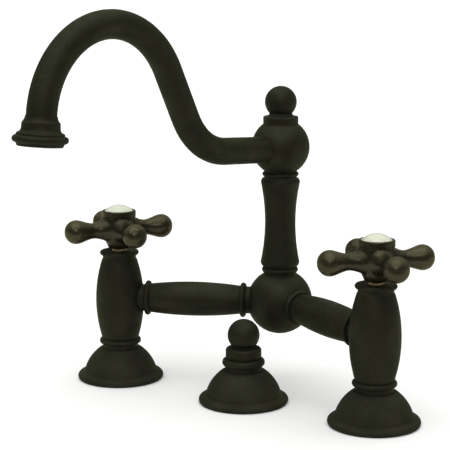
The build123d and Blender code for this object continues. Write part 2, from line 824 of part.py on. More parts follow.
# The two valve columns with their arms and handles
for side, place in column_places.items():
    toward_hub = place * Pos(0, 0, bridge_height) * Rot(0, 0, arm_headings[side]) * Rot(0, 90, 0)
    gasket_r = flange_foot_r - flange_foot_width
    add(f"{side}_deck_flange", deck_flange(shank_r + passing_gap), place)
    add(f"{side}_flange_gasket", ring(gasket_r, gasket_r - gasket_width, 0, gasket_thickness), place)
    add(f"{side}_column_body", column_body(arm_headings[side]), place)
    add(f"{side}_shank", shank(), place)
    add(f"{side}_bonnet_collar", bonnet_collar(), place)
    add(f"{side}_inlet_seal", ring(housing_r, waterway_r, seat_height, seal_top), place)
    add(f"{side}_cartridge_housing", cartridge_housing(), place)
    add(f"{side}_fixed_disc", disc(housing_cavity_r, seal_top, disc_thickness), place)
    add(f"{side}_bridge_arm", bridge_arm(), toward_hub)
    add(f"{side}_arm_outer_collar", arm_collar(outer_collar_start, outer_collar_end), toward_hub)
    inner_collar = arm_collar(arm_span - inner_collar_start, arm_span - inner_collar_end)
    add(f"{side}_arm_inner_collar", inner_collar, toward_hub)

    handle_place = place * Rot(0, 0, handle_angles[side])
    moving_disc_r = housing_cavity_r - moving_gap
    add(f"{side}_moving_disc", disc(moving_disc_r, moving_disc_bottom, moving_disc_thickness), handle_place)
    add(f"{side}_valve_stem", valve_stem(), handle_place)
    add(f"{side}_cross_handle", cross_handle(), handle_place)
    add(f"{side}_handle_screw", handle_screw(), handle_place)
    add(f"{side}_button_bezel", button_bezel(), handle_place)
    add(f"{side}_porcelain_button", porcelain_button(), handle_place)

# Fixings under the deck, one washer and one nut on each shank
washer = ring(washer_r, shank_r + passing_gap, -deck_thickness - washer_thickness, -deck_thickness)
nut_top = -deck_thickness - washer_thickness
nut = hex_nut(shank_nut_across_flats, shank_r, nut_top - shank_nut_height, shank_nut_height)
add("mounting_washers", Compound(children=[place * washer for place in column_places.values()]))
add("mounting_nuts", Compound(children=[place * nut for place in column_places.values()]))

# Hub and post
add("hub_ball", Pos(0, 0, bridge_height) * hub_ball(), hub_place)
add("post_lower_ring", beaded_ring(post_spigot_r, hub_seat_r, hub_seat, lower_ring_height), hub_place)
add("spout_post", spout_post(), hub_place)
washer_bore_r = nipple_r + moving_gap
add("swivel_washer", ring(swivel_ring_r, washer_bore_r, post_top, swivel_washer_top), hub_place)

# Swivel spout
tube, outlet_place = gooseneck()
add("spout_tube", tube, spout_place)
add("outlet_shell", outlet_shell(), spout_place * outlet_place)
seal = ring(aerator_r, aerator_r - aerator_seal_width, shell_ledge, shell_ledge + aerator_seal_thickness)
add("aerator_seal", seal, spout_place * outlet_place)
add("aerator_insert", aerator_insert(), spout_place * outlet_place)
add("spout_hub", spout_hub(), spout_place)
add("swivel_ring", beaded_ring(nipple_r, swivel_ring_r, swivel_ring_foot, swivel_ring_height), spout_place)
add("swivel_nipple", swivel_nipple(), spout_place)
add("swivel_orings", swivel_orings(), spout_place)
add("swivel_clip", swivel_clip(), spout_place)
add("finial_collar", finial_collar(), spout_place)
add("finial_ball", finial_ball(), spout_place)

# Lift rod between the columns
add("lift_rod_flange", deck_flange(guide_r + passing_gap), rod_place)
add("lift_rod_guide", ring(guide_r, guide_bore_r, -guide_below_deck, guide_top), rod_place)
add("lift_rod_cap", lift_rod_cap(), rod_place)
rod_washer = ring(rod_washer_r, guide_r + passing_gap, nut_top, -deck_thickness)
add("lift_rod_washer", rod_washer, rod_place)
rod_nut = hex_nut(rod_nut_across_flats, guide_r, nut_top - rod_nut_height, rod_nut_height)
add("lift_rod_nut", rod_nut, rod_place)
add("lift_rod", rod(rod_r, -rod_below_deck, knob_foot + knob_socket), rod_place)
add("lift_rod_knob", lift_rod_knob(), rod_place)

os.makedirs("parts", exist_ok=True)
for name, solid in parts.items():
    export_step(solid, f"parts/{name}.step")
print(f"{len(parts)} pieces")
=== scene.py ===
# %% [markdown]
# # A bridge bathroom faucet, dressed in Blender
#
# The metalwork of this faucet arrives as a finished model of solid pieces: columns, bridge arms, ball
# hub, post, gooseneck, outlet, handles and fixings. This notebook gives each of them its finish, replaces
# a few pieces whose real surfaces are richer than a plain solid, and sets up the photograph's camera and
# light. All lengths are in metres unless said. X runs from the left column to the right one, Y to the
# back, Z up.

# %% Load the solid model
import json
import math

import bpy
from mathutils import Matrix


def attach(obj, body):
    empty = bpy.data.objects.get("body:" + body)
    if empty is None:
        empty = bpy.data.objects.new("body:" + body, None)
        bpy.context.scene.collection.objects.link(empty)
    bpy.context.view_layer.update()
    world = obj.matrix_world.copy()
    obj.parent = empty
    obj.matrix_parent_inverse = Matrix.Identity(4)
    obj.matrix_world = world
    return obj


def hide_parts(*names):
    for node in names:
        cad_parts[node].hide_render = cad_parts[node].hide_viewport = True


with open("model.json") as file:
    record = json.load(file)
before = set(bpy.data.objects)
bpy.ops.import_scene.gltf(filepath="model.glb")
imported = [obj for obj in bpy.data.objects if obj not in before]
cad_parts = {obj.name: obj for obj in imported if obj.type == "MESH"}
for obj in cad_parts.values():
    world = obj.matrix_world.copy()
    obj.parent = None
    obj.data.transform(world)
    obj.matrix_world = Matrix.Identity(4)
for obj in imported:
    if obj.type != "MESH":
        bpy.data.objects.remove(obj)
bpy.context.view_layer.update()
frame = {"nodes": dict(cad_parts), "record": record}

nodes = frame["nodes"]

# %% [markdown]
# ## Camera
#
# The picture was taken from the front right, with a long lens about a metre away that stands higher than
# the outlet. A long lens keeps the two columns nearly the same size. The place and turn were found by
# fitting the outlines of flanges, columns and balls to the picture. The lens is shifted by a small share
# of the frame, because the object's middle isn't the middle of the picture.

# %% Camera
camera_place = (0.52367, -0.82118, 0.29506)
camera_turn = (80.7758, -0.1218, 32.1909)

camera_data = bpy.data.cameras.new("camera")
camera_data.sensor_width = 36.0
camera_data.lens = 118.81
camera_data.shift_x = -0.0556
camera_data.shift_y = -0.0556
camera_data.clip_start = 0.01
camera = bpy.data.objects.new("camera", camera_data)
camera.location = camera_place
camera.rotation_euler = [math.radians(a) for a in camera_turn]
bpy.context.scene.collection.objects.link(camera)
bpy.context.scene.camera = camera
print("camera at", camera_place, "with a", camera_data.lens, "mm lens")

# %% [markdown]
# ## Helpers for node materials
#
# Every finish below is a node tree. A few small helpers keep them readable: one adds a node and sets its
# values, one joins outputs to inputs, one makes a soft step, which most masks end with, and one starts a
# node group with named sockets.

# %% Node helpers
def set_inputs(node, values):
    """Sets the values of a node's inputs, which go by name or number."""
    for key, value in values.items():
        node.inputs[key].default_value = value


def add(tree, kind, name=None, inputs=None, **settings):
    node = tree.nodes.new(kind)
    if name:
        node.name = node.label = name
    for key, value in settings.items():
        setattr(node, key, value)
    set_inputs(node, inputs or {})
    return node


def join(tree, *pairs):
    for source, target in pairs:
        tree.links.new(source, target)


def soft_step(tree, name, low=0.0, high=1.0, first=0.0, last=1.0):
    """Eases from the first value to the last one while its input goes from low to high."""
    span = {"From Min": low, "From Max": high, "To Min": first, "To Max": last}
    return add(tree, "ShaderNodeMapRange", name, inputs=span, interpolation_type="SMOOTHSTEP")


def start_group(name, inputs, outputs):
    """A shader node group with named sockets, and its two end nodes."""
    tree = bpy.data.node_groups.new(name, "ShaderNodeTree")
    for label, kind, value in inputs:
        socket = tree.interface.new_socket(label, in_out="INPUT", socket_type=kind)
        socket.default_value = value
    for label, kind in outputs:
        tree.interface.new_socket(label, in_out="OUTPUT", socket_type=kind)
    return tree, add(tree, "NodeGroupInput"), add(tree, "NodeGroupOutput")


print("node helpers ready")

# %% [markdown]
# ## Shared effects
#
# Four effects turn up in most of the finishes, so each is a node group that is built once:
#
# - **Cloudy patina**: slow, soft changes of tone, as a chemical finish leaves them.
# - **Fine grain**: the sandy texture of a sprayed or blasted coat, as a height and as a speckle.
# - **Rubbed edges**: a mask of outer edges. A Bevel node gives a rounded normal near an edge; where it
#   leans away from the true normal there is an edge, and ambient occlusion tells an outer edge from a
#   corner.
# - **Hollow shade**: a mask of the grooves and corners, from ambient occlusion, where the colour is
#   darkened as painted shade.

# %% Cloudy patina
clouds, g_in, g_out = start_group(
    "cloudy patina",
    [
        ("Size", "NodeSocketFloat", 60.0),
        ("Low", "NodeSocketFloat", 0.35),
        ("High", "NodeSocketFloat", 0.65),
    ],
    [("Mask", "NodeSocketFloat")],
)
place = add(clouds, "ShaderNodeTexCoord")
broad = add(clouds, "ShaderNodeTexNoise", "broad clouds", inputs={"Detail": 4.0, "Roughness": 0.6})
spread = soft_step(clouds, "spread")
join(
    clouds,
    (place.outputs["Object"], broad.inputs["Vector"]),
    (g_in.outputs["Size"], broad.inputs["Scale"]),
    (broad.outputs["Fac"], spread.inputs["Value"]),
    (g_in.outputs["Low"], spread.inputs["From Min"]),
    (g_in.outputs["High"], spread.inputs["From Max"]),
    (spread.outputs["Result"], g_out.inputs["Mask"]),
)
print("node group:", clouds.name)

# %% Fine grain
grain, g_in, g_out = start_group(
    "fine grain",
    [("Size", "NodeSocketFloat", 1500.0)],
    [("Height", "NodeSocketFloat"), ("Speckle", "NodeSocketFloat")],
)
place = add(grain, "ShaderNodeTexCoord")
sand = add(grain, "ShaderNodeTexNoise", "sand", inputs={"Detail": 3.0, "Roughness": 0.7})
pits = add(grain, "ShaderNodeTexVoronoi", "pits")
pit_size = add(grain, "ShaderNodeMath", "pit size", inputs={1: 0.45}, operation="MULTIPLY")
shallow = add(grain, "ShaderNodeMath", "shallow pits", inputs={1: 0.35}, operation="MULTIPLY_ADD")
speckle = soft_step(grain, "speckle", 0.38, 0.66)
join(
    grain,
    (place.outputs["Object"], sand.inputs["Vector"]),
    (place.outputs["Object"], pits.inputs["Vector"]),
    (g_in.outputs["Size"], sand.inputs["Scale"]),
    (g_in.outputs["Size"], pit_size.inputs[0]),
    (pit_size.outputs[0], pits.inputs["Scale"]),
    (pits.outputs["Distance"], shallow.inputs[0]),
    (sand.outputs["Fac"], shallow.inputs[2]),
    (shallow.outputs[0], g_out.inputs["Height"]),
    (sand.outputs["Fac"], speckle.inputs["Value"]),
    (speckle.outputs["Result"], g_out.inputs["Speckle"]),
)
print("node group:", grain.name)

# %% Rubbed edges
rubbed, g_in, g_out = start_group(
    "rubbed edges",
    [("Width", "NodeSocketFloat", 0.0008), ("Breakup", "NodeSocketFloat", 220.0)],
    [("Mask", "NodeSocketFloat")],
)
round_edge = add(rubbed, "ShaderNodeBevel", "rounded normal", samples=6)
true_face = add(rubbed, "ShaderNodeNewGeometry")
lean = add(rubbed, "ShaderNodeVectorMath", "lean", operation="DOT_PRODUCT")
edge = soft_step(rubbed, "edge", 0.995, 0.86)
open_air = add(rubbed, "ShaderNodeAmbientOcclusion", "open air", inputs={"Distance": 0.004}, samples=6)
outer = soft_step(rubbed, "outer edges only", 0.72, 0.95)
place = add(rubbed, "ShaderNodeTexCoord")
broken = add(rubbed, "ShaderNodeTexNoise", "broken up", inputs={"Detail": 5.0})
broken_range = soft_step(rubbed, "broken range", 0.36, 0.58)
both = add(rubbed, "ShaderNodeMath", "edge and open", operation="MULTIPLY")
mask = add(rubbed, "ShaderNodeMath", "mask", operation="MULTIPLY")
join(
    rubbed,
    (g_in.outputs["Width"], round_edge.inputs["Radius"]),
    (round_edge.outputs["Normal"], lean.inputs[0]),
    (true_face.outputs["Normal"], lean.inputs[1]),
    (lean.outputs["Value"], edge.inputs["Value"]),
    (open_air.outputs["AO"], outer.inputs["Value"]),
    (edge.outputs["Result"], both.inputs[0]),
    (outer.outputs["Result"], both.inputs[1]),
    (place.outputs["Object"], broken.inputs["Vector"]),
    (g_in.outputs["Breakup"], broken.inputs["Scale"]),
    (broken.outputs["Fac"], broken_range.inputs["Value"]),
    (both.outputs[0], mask.inputs[0]),
    (broken_range.outputs["Result"], mask.inputs[1]),
    (mask.outputs[0], g_out.inputs["Mask"]),
)
print("node group:", rubbed.name)

# %% Hollow shade
hollow, g_in, g_out = start_group(
    "hollow shade",
    [("Reach", "NodeSocketFloat", 0.004)],
    [("Mask", "NodeSocketFloat")],
)
# painted shade: ambient occlusion finds the grooves and corners whose colour is darkened
shade = add(hollow, "ShaderNodeAmbientOcclusion", "shade", samples=6)
dark = soft_step(hollow, "dark", 0.85, 0.35)
join(
    hollow,
    (g_in.outputs["Reach"], shade.inputs["Distance"]),
    (shade.outputs["AO"], dark.inputs["Value"]),
    (dark.outputs["Result"], g_out.inputs["Mask"]),
)
print("node group:", hollow.name)

# %% [markdown]
# ## Helpers for materials
#
# A finish places the shared effects, stacks colours over each other by their masks, and lets one mask
# change the roughness and one height bump the surface. Each of these steps is a helper, because every
# finish below repeats them.

# %% Material helpers
def start_material(name):
    """A new material, its node tree and its surface shader."""
    material = bpy.data.materials.new(name)
    material.use_nodes = True
    tree = material.node_tree
    return material, tree, tree.nodes["Principled BSDF"]


def place_group(tree, group, **values):
    return add(tree, "ShaderNodeGroup", group.name, node_tree=group, inputs=values)


def blend_colour(tree, name, mask, first, second, share=1.0):
    """Mixes towards the second colour by a mask. A colour is a tuple or another node's output."""
    node = add(tree, "ShaderNodeMix", name, data_type="RGBA")
    if share != 1.0:
        scaled = add(tree, "ShaderNodeMath", name + " share", inputs={1: share}, operation="MULTIPLY")
        join(tree, (mask, scaled.inputs[0]))
        mask = scaled.outputs[0]
    join(tree, (mask, node.inputs["Factor"]))
    for socket, colour in ((node.inputs[6], first), (node.inputs[7], second)):
        if isinstance(colour, tuple):
            socket.default_value = (*colour, 1)
        else:
            join(tree, (colour, socket))
    return node.outputs[2]


def vary_roughness(tree, surface, mask, low, high):
    """Takes the roughness from one value to the other by a mask."""
    rough = add(tree, "ShaderNodeMapRange", "roughness", inputs={"To Min": low, "To Max": high})
    join(tree, (mask, rough.inputs["Value"]), (rough.outputs["Result"], surface.inputs["Roughness"]))


def bump_surface(tree, surface, name, height, strength, depth):
    bump = add(tree, "ShaderNodeBump", name, inputs={"Strength": strength, "Distance": depth})
    join(tree, (height, bump.inputs["Height"]), (bump.outputs["Normal"], surface.inputs["Normal"]))


print("material helpers ready")

# %% [markdown]
# ## Oil-rubbed bronze
#
# The whole outside of the faucet has a dark, dry finish: a blackened bronze skin with an olive tint. It
# is nearly matte, a touch paler where it is rubbed at edges, and darker in the grooves, where painted
# shade darkens its colour. The flanges are the most matte and a little paler. The handles are rubbed by
# hands, so their skin is smoother and a warm brown comes through on the balls of the arms. An image of a
# real surface would show its seams and fix its size, so the skin is built from the shared effects, and
# one function makes all three from their own values.

# %% Bronze
def bronze(name, skin, cloud, worn, groove_shade, roughness, worn_share, grain_depth, rim_tint, handled=None):
    material, tree, surface = start_material(name)
    patina = place_group(tree, clouds, Size=55.0, Low=0.36, High=0.66)
    sandy = place_group(tree, grain, Size=1500.0)
    edges = place_group(tree, rubbed, Width=0.0009, Breakup=260.0)
    corner_shade = place_group(tree, hollow, Reach=0.004)
    colour = blend_colour(tree, "patina", patina.outputs["Mask"], skin, cloud)
    colour = blend_colour(tree, "speckle", sandy.outputs["Speckle"], colour, worn, 0.10)
    # painted shade: the colour darkens towards the groove colour in grooves and corners
    colour = blend_colour(tree, "groove_shade", corner_shade.outputs["Mask"], colour, groove_shade, 0.15)
    colour = blend_colour(tree, "worn", edges.outputs["Mask"], colour, worn, worn_share)
    if handled:
        touch = add(tree, "ShaderNodeAttribute", "handled", attribute_name="handled")
        patchy = add(tree, "ShaderNodeMath", "patchy", inputs={1: 0.5, 2: 0.5}, operation="MULTIPLY_ADD")
        rubbed_share = add(tree, "ShaderNodeMath", "rubbed share", operation="MULTIPLY")
        join(
            tree,
            (patina.outputs["Mask"], patchy.inputs[0]),
            (touch.outputs["Fac"], rubbed_share.inputs[0]),
            (patchy.outputs[0], rubbed_share.inputs[1]),
        )
        colour = blend_colour(tree, "rubbed by hands", rubbed_share.outputs[0], colour, handled)
    join(tree, (colour, surface.inputs["Base Color"]))
    vary_roughness(tree, surface, patina.outputs["Mask"], roughness + 0.05, roughness - 0.05)
    bump_surface(tree, surface, "grain bump", sandy.outputs["Height"], 0.35, grain_depth)
    set_inputs(surface, {"Metallic": 0.7, "Specular Tint": (*rim_tint, 1)})
    return material


body_bronze = bronze(
    "body bronze",
    skin=(0.0142, 0.0149, 0.0091),
    cloud=(0.0185, 0.0190, 0.0119),
    worn=(0.110, 0.098, 0.062),
    groove_shade=(0.0080, 0.0078, 0.0050),
    roughness=0.58,
    worn_share=0.40,
    grain_depth=0.00006,
    rim_tint=(0.54, 0.55, 0.39),
)
flange_bronze = bronze(
    "flange bronze",
    skin=(0.0215, 0.0224, 0.0147),
    cloud=(0.0280, 0.0287, 0.0188),
    worn=(0.125, 0.112, 0.075),
    groove_shade=(0.0140, 0.0138, 0.0095),
    roughness=0.80,
    worn_share=0.40,
    grain_depth=0.00006,
    rim_tint=(0.57, 0.58, 0.42),
)
handle_bronze = bronze(
    "handle bronze",
    skin=(0.0230, 0.0226, 0.0135),
    cloud=(0.0330, 0.0305, 0.0178),
    worn=(0.170, 0.120, 0.060),
    groove_shade=(0.0120, 0.0108, 0.0066),
    roughness=0.30,
    worn_share=0.50,
    grain_depth=0.00003,
    rim_tint=(0.55, 0.55, 0.41),
    handled=(0.052, 0.045, 0.024),
)
print("materials:", body_bronze.name, flange_bronze.name, handle_bronze.name)

# %% [markdown]
# ## Brass and steel
#
# The headwork, spindles, shanks and nuts are bare turned brass, the washers and screws satin steel. A
# lathe tool leaves fine rings, so a noise that is squeezed flat along the upright axis bumps the surface,
# and slow clouds of tarnish dull it. Bright metal has little look of its own and mirrors its
# surroundings, so the bump stays very low.

# %% Turned brass and steel
def turned_metal(name, bright, dull, roughness):
    """Metal with fine turning lines round the vertical axis and cloudy tarnish."""
    material, tree, surface = start_material(name)
    tarnish = place_group(tree, clouds, Size=90.0, Low=0.4, High=0.7)
    edges = place_group(tree, rubbed, Width=0.0005, Breakup=400.0)
    place = add(tree, "ShaderNodeTexCoord")
    ring_scale = (60.0, 60.0, 5000.0)
    stretch = add(tree, "ShaderNodeMapping", "turning lines", inputs={"Scale": ring_scale})
    lines = add(tree, "ShaderNodeTexNoise", "lines", inputs={"Scale": 1.0})
    colour = blend_colour(tree, "tarnish", tarnish.outputs["Mask"], bright, dull)
    colour = blend_colour(tree, "bright edges", edges.outputs["Mask"], colour, bright, 0.8)
    join(
        tree,
        (colour, surface.inputs["Base Color"]),
        (place.outputs["Object"], stretch.inputs["Vector"]),
        (stretch.outputs["Vector"], lines.inputs["Vector"]),
    )
    vary_roughness(tree, surface, tarnish.outputs["Mask"], roughness, roughness + 0.2)
    bump_surface(tree, surface, "line bump", lines.outputs["Fac"], 0.25, 0.00002)
    set_inputs(surface, {"Metallic": 1.0})
    return material


turned_brass = turned_metal("turned brass", (0.88, 0.72, 0.40), (0.68, 0.52, 0.26), 0.34)
satin_steel = turned_metal("satin steel", (0.62, 0.62, 0.61), (0.42, 0.42, 0.43), 0.30)
print("materials:", turned_brass.name, "and", satin_steel.name)

# %% [markdown]
# ## Porcelain
#
# The button is glazed porcelain: a cream body under a clear glossy coat. The glaze pools a little
# unevenly, and painted shade darkens the colour where it meets the metal ring. A smooth coat over a
# rougher body gives the soft sheen and the sharp mirror together, which a single roughness could not.

# %% Porcelain glaze
porcelain, tree, surface = start_material("porcelain glaze")
pooling = place_group(tree, clouds, Size=130.0, Low=0.35, High=0.7)
corner_shade = place_group(tree, hollow, Reach=0.0015)
thin_glaze, thick_glaze, rim_shade = (0.60, 0.635, 0.49), (0.54, 0.575, 0.435), (0.30, 0.29, 0.20)
cream = blend_colour(tree, "glaze pooling", pooling.outputs["Mask"], thin_glaze, thick_glaze)
# painted shade: darker where the glaze meets the metal ring
cream = blend_colour(tree, "rim shade", corner_shade.outputs["Mask"], cream, rim_shade, 0.6)
ripple = place_group(tree, grain, Size=300.0)
join(tree, (cream, surface.inputs["Base Color"]))
bump_surface(tree, surface, "glaze ripple", ripple.outputs["Height"], 0.12, 0.00005)
set_inputs(surface, {"Roughness": 0.16, "Coat Weight": 0.6, "Coat Roughness": 0.05})
print("material:", porcelain.name)

# %% [markdown]
# ## Ceramic, rubber and plastic
#
# The discs in the headwork are lapped ceramic, the seals soft rubber and the aerator moulded plastic.
# None is metal and all look plain up close, so one function makes the three from two colours and the
# grain's size and depth.

# %% Ceramic, rubber and plastic
def plain_finish(name, first, second, roughness, size, grain_size, depth):
    """A matte solid colour with slow clouds, painted shade in the grooves and a fine grain."""
    material, tree, surface = start_material(name)
    tone = place_group(tree, clouds, Size=size, Low=0.35, High=0.65)
    sandy = place_group(tree, grain, Size=grain_size)
    corner_shade = place_group(tree, hollow, Reach=0.002)
    colour = blend_colour(tree, "tone", tone.outputs["Mask"], first, second)
    colour = blend_colour(tree, "speckle", sandy.outputs["Speckle"], colour, second, 0.4)
    # painted shade: darker in grooves and corners
    groove_shade = tuple(0.45 * channel for channel in second)
    colour = blend_colour(tree, "groove_shade", corner_shade.outputs["Mask"], colour, groove_shade, 0.6)
    join(tree, (colour, surface.inputs["Base Color"]))
    vary_roughness(tree, surface, tone.outputs["Mask"], roughness - 0.06, roughness + 0.06)
    bump_surface(tree, surface, "grain bump", sandy.outputs["Height"], 0.3, depth)
    return material


disc_ceramic = plain_finish(
    "disc ceramic",
    first=(0.84, 0.83, 0.79),
    second=(0.76, 0.75, 0.70),
    roughness=0.30,
    size=150.0,
    grain_size=2500.0,
    depth=0.00001,
)
seal_rubber = plain_finish(
    "seal rubber",
    first=(0.022, 0.022, 0.023),
    second=(0.034, 0.034, 0.034),
    roughness=0.70,
    size=120.0,
    grain_size=2200.0,
    depth=0.00004,
)
aerator_plastic = plain_finish(
    "aerator plastic",
    first=(0.74, 0.74, 0.72),
    second=(0.66, 0.66, 0.63),
    roughness=0.42,
    size=110.0,
    grain_size=2600.0,
    depth=0.00002,
)
print("materials:", disc_ceramic.name, seal_rubber.name, aerator_plastic.name)

# %% [markdown]
# ## Dress the solid pieces
#
# Each solid piece belongs to one of the record's material slots, so the finishes are handed out by slot.
# The three flanges then get their own paler bronze, and the swivel's plastic washer is made black,
# because a pale line under the swivel ring doesn't show on the real faucet.

# %% Hand out the finishes
finish_of_slot = {
    "bronze": body_bronze,
    "handle_bronze": handle_bronze,
    "plain_brass": turned_brass,
    "steel": satin_steel,
    "porcelain": porcelain,
    "disc_ceramic": disc_ceramic,
    "rubber": seal_rubber,
    "plastic": aerator_plastic,
}


def dress(piece, material):
    piece.data.materials.clear()
    piece.data.materials.append(material)


slot_of_node = {entry["node"]: entry["material_slot"] for entry in frame["record"]["subparts"]}
for name, piece in nodes.items():
    dress(piece, finish_of_slot[slot_of_node[name]])
for name in ("left_deck_flange", "right_deck_flange", "lift_rod_flange"):
    dress(nodes[name], flange_bronze)
dress(nodes["swivel_washer"], seal_rubber)
print({slot: list(slot_of_node.values()).count(slot) for slot in finish_of_slot})

# %% [markdown]
# ## Pieces modelled here
#
# Two kinds of piece carry more than a plain solid can show. The cross handles are sand-cast in one piece,
# so their arms melt into the hub without a visible joint, and the shanks and the lift-rod guide are cut
# with real threads. Both start as turned shapes, so the first helpers are a lathe and a few bench tools.
# Their sizes are millimetres, like a drawing. A finished piece's object stays at the origin, with its
# place in its mesh.

# %% Lathe and bench tools
MM = 0.001    # one millimetre, in metres


def select_none():
    for other in list(bpy.context.selected_objects):
        other.select_set(False)


def alone(piece):
    """Makes one piece the only selected and active one."""
    select_none()
    piece.select_set(True)
    bpy.context.view_layer.objects.active = piece


def draw_profile(name, points):
    """Draws an open line of (radius, height) points: one point first, then extruded step by step."""
    select_none()
    bpy.ops.mesh.primitive_plane_add(size=MM, location=(0, 0, 0))
    piece = bpy.context.object
    piece.name = piece.data.name = name
    bpy.ops.object.mode_set(mode="EDIT")
    bpy.ops.mesh.merge(type="CENTER")
    bpy.ops.transform.translate(value=(points[0][0] * MM, 0, points[0][1] * MM))
    for (r0, z0), (r1, z1) in zip(points, points[1:]):
        step = ((r1 - r0) * MM, 0, (z1 - z0) * MM)
        bpy.ops.mesh.extrude_region_move(TRANSFORM_OT_translate={"value": step})
    bpy.ops.object.mode_set(mode="OBJECT")
    return piece


def lathe(name, points, steps=64):
    """A closed turned piece about Z: the profile starts and ends on the axis."""
    piece = draw_profile(name, points)
    bpy.ops.object.mode_set(mode="EDIT")
    bpy.ops.mesh.select_all(action="SELECT")
    bpy.ops.mesh.spin(steps=steps, angle=math.tau, center=(0, 0, 0), axis=(0, 0, 1))
    bpy.ops.mesh.select_all(action="SELECT")
    bpy.ops.mesh.remove_doubles(threshold=0.001 * MM)
    bpy.ops.mesh.normals_make_consistent(inside=False)
    bpy.ops.object.mode_set(mode="OBJECT")
    return piece


def move(piece, place=(0, 0, 0), turn=0.0, axis="Z"):
    """Turns a piece's mesh about an axis through the origin, then moves it, and leaves its object alone.

    The rotate operator counts its angle the other way round, so the turn is passed with its sign changed.
    """
    alone(piece)
    bpy.ops.object.mode_set(mode="EDIT")
    bpy.ops.mesh.select_all(action="SELECT")
    if turn:
        bpy.ops.transform.rotate(
            value=-turn, orient_axis=axis, orient_type="GLOBAL", center_override=(0, 0, 0)
        )
    bpy.ops.transform.translate(value=place)
    bpy.ops.object.mode_set(mode="OBJECT")


def copied(piece, name):
    alone(piece)
    bpy.ops.object.duplicate()
    twin = bpy.context.object
    twin.name = twin.data.name = name
    return twin


def carve(piece, tool, operation="DIFFERENCE"):
    """Cuts a tool out of a piece, or welds it on, and throws the tool away."""
    alone(piece)
    cut = piece.modifiers.new("cut", "BOOLEAN")
    cut.operation = operation
    cut.solver = "EXACT"
    cut.object = tool
    bpy.ops.object.modifier_apply(modifier=cut.name)
    bpy.data.objects.remove(tool)


print("bench ready")

# %% [markdown]
# ## Cross handles
#
# Each handle is one casting: a flared hub and four teardrop arms that swell to a ball at the tip. A
# pattern maker turns the hub and one arm and repeats the arm four times. The same order works here: both
# are turned on the lathe, the arm's root is lifted a little, because it meets the hub higher than its
# ball, and the arm is copied round the hub. The lift fades out softly along the arm, so the ball stays a
# ball. The hub is left too tall, so that its top can be faced flat later.

# %% Handle pattern
foot = 93.9                          # underside of the hub above the deck
arm_rise, hub_height = 13.4, 22.6    # above the foot
facing_stock = 2.5                   # cut off the hub's top later

pattern = lathe(
    "handle pattern",
    [(0, 0), (7.6, 0), (8.1, 1.5), (9.0, 3.3), (10.0, 5.6), (11.0, 8.2), (12.0, 11.0), (12.6, 13.4)]
    + [(12.7, 15.5), (12.45, 17.5), (12.0, 19.5), (11.6, 21.2), (11.5, hub_height + facing_stock)]
    + [(0, hub_height + facing_stock)],
)
arm = lathe(
    "arm pattern",
    [(0, 5), (9.6, 5), (9.5, 8.0), (8.75, 10.0), (7.6, 12.0), (6.6, 14.0), (5.9, 16.0), (5.5, 18.0)]
    + [(5.4, 19.4), (5.6, 21.0), (6.2, 23.2), (6.95, 25.6), (7.65, 27.6), (8.15, 29.3), (8.45, 30.9)]
    + [(8.5, 31.9), (8.35, 33.2), (7.95, 34.6), (7.25, 36.0), (6.2, 37.3), (4.9, 38.35), (3.35, 39.15)]
    + [(1.7, 39.6), (0, 39.75)],
    steps=48,
)
move(arm, (0, 0, arm_rise * MM), math.pi / 2, "Y")
print("hub and arm of", len(pattern.data.polygons), "and", len(arm.data.polygons), "faces")

# %% Lift the arm's root
root_reach, root_lift, lift_falloff = 8.1, 0.8, 9.0

bpy.ops.object.mode_set(mode="EDIT")
bpy.ops.mesh.select_all(action="DESELECT")
bpy.ops.object.mode_set(mode="OBJECT")
for point in arm.data.vertices:
    point.select = point.co.x < root_reach * MM
bpy.ops.object.mode_set(mode="EDIT")
bpy.ops.transform.translate(
    value=(0, 0, root_lift * MM),
    use_proportional_edit=True,
    proportional_edit_falloff="SMOOTH",
    proportional_size=lift_falloff * MM,
)
bpy.ops.object.mode_set(mode="OBJECT")
print("root lifted by", root_lift, "mm")

# %% Four arms round the hub
arms = [arm] + [copied(arm, "arm pattern") for _ in range(3)]
for quarter, each in enumerate(arms):
    move(each, turn=quarter * math.pi / 2)
for each in [pattern] + arms:
    each.select_set(True)
bpy.context.view_layer.objects.active = pattern
bpy.ops.object.join()
print("pattern of", len(pattern.data.polygons), "faces")

# %% [markdown]
# ## From pattern to casting
#
# Fusing the five shapes with a boolean would leave sharp seams where the arms meet the hub, and a bevel
# along such seams breaks easily. A voxel remesh makes one even skin instead. Smoothing that skin makes
# the soft corners of a casting, because it pulls hardest where the surface bends most. The flat top, the
# cup for the button, the hole for the screw and the bore for the spindle are machined last, as on the
# real casting, so their edges stay crisp.

# %% Cast, smooth and machine the handle
voxel, smoothing_rounds = 0.42, 32

alone(pattern)
pattern.data.remesh_voxel_size = voxel * MM
bpy.ops.object.voxel_remesh()
bpy.ops.object.mode_set(mode="EDIT")
bpy.ops.mesh.select_all(action="SELECT")
bpy.ops.mesh.vertices_smooth(factor=0.5, repeat=smoothing_rounds)
bpy.ops.mesh.normals_make_consistent(inside=False)
bpy.ops.object.mode_set(mode="OBJECT")

cup_r, bore_r, screw_r, facing_r = 8.5, 3.6, 2.0, 14.0
tool_foot, bore_top, cup_floor, facing_top = -2, 13.3, 16.3, hub_height + 4
machining = [(0, tool_foot), (bore_r, tool_foot), (bore_r, bore_top), (screw_r, bore_top)]
machining += [(screw_r, cup_floor), (cup_r, cup_floor), (cup_r, hub_height)]
machining += [(facing_r, hub_height), (facing_r, facing_top), (0, facing_top)]
carve(pattern, lathe("machining", machining))
bpy.ops.object.shade_smooth_by_angle(angle=math.radians(40))
print("casting of", len(pattern.data.polygons), "faces")

# %% [markdown]
# ## Two handles, and where hands rub them
#
# The left and the right handle are the same casting, each turned as it stands in the picture. Hands wear
# the balls of the arms first, so every point of the mesh stores its share of wear, from its distance to
# the axis. The material reads it back as an attribute. The wear then turns with the handle, wherever it
# is turned to.

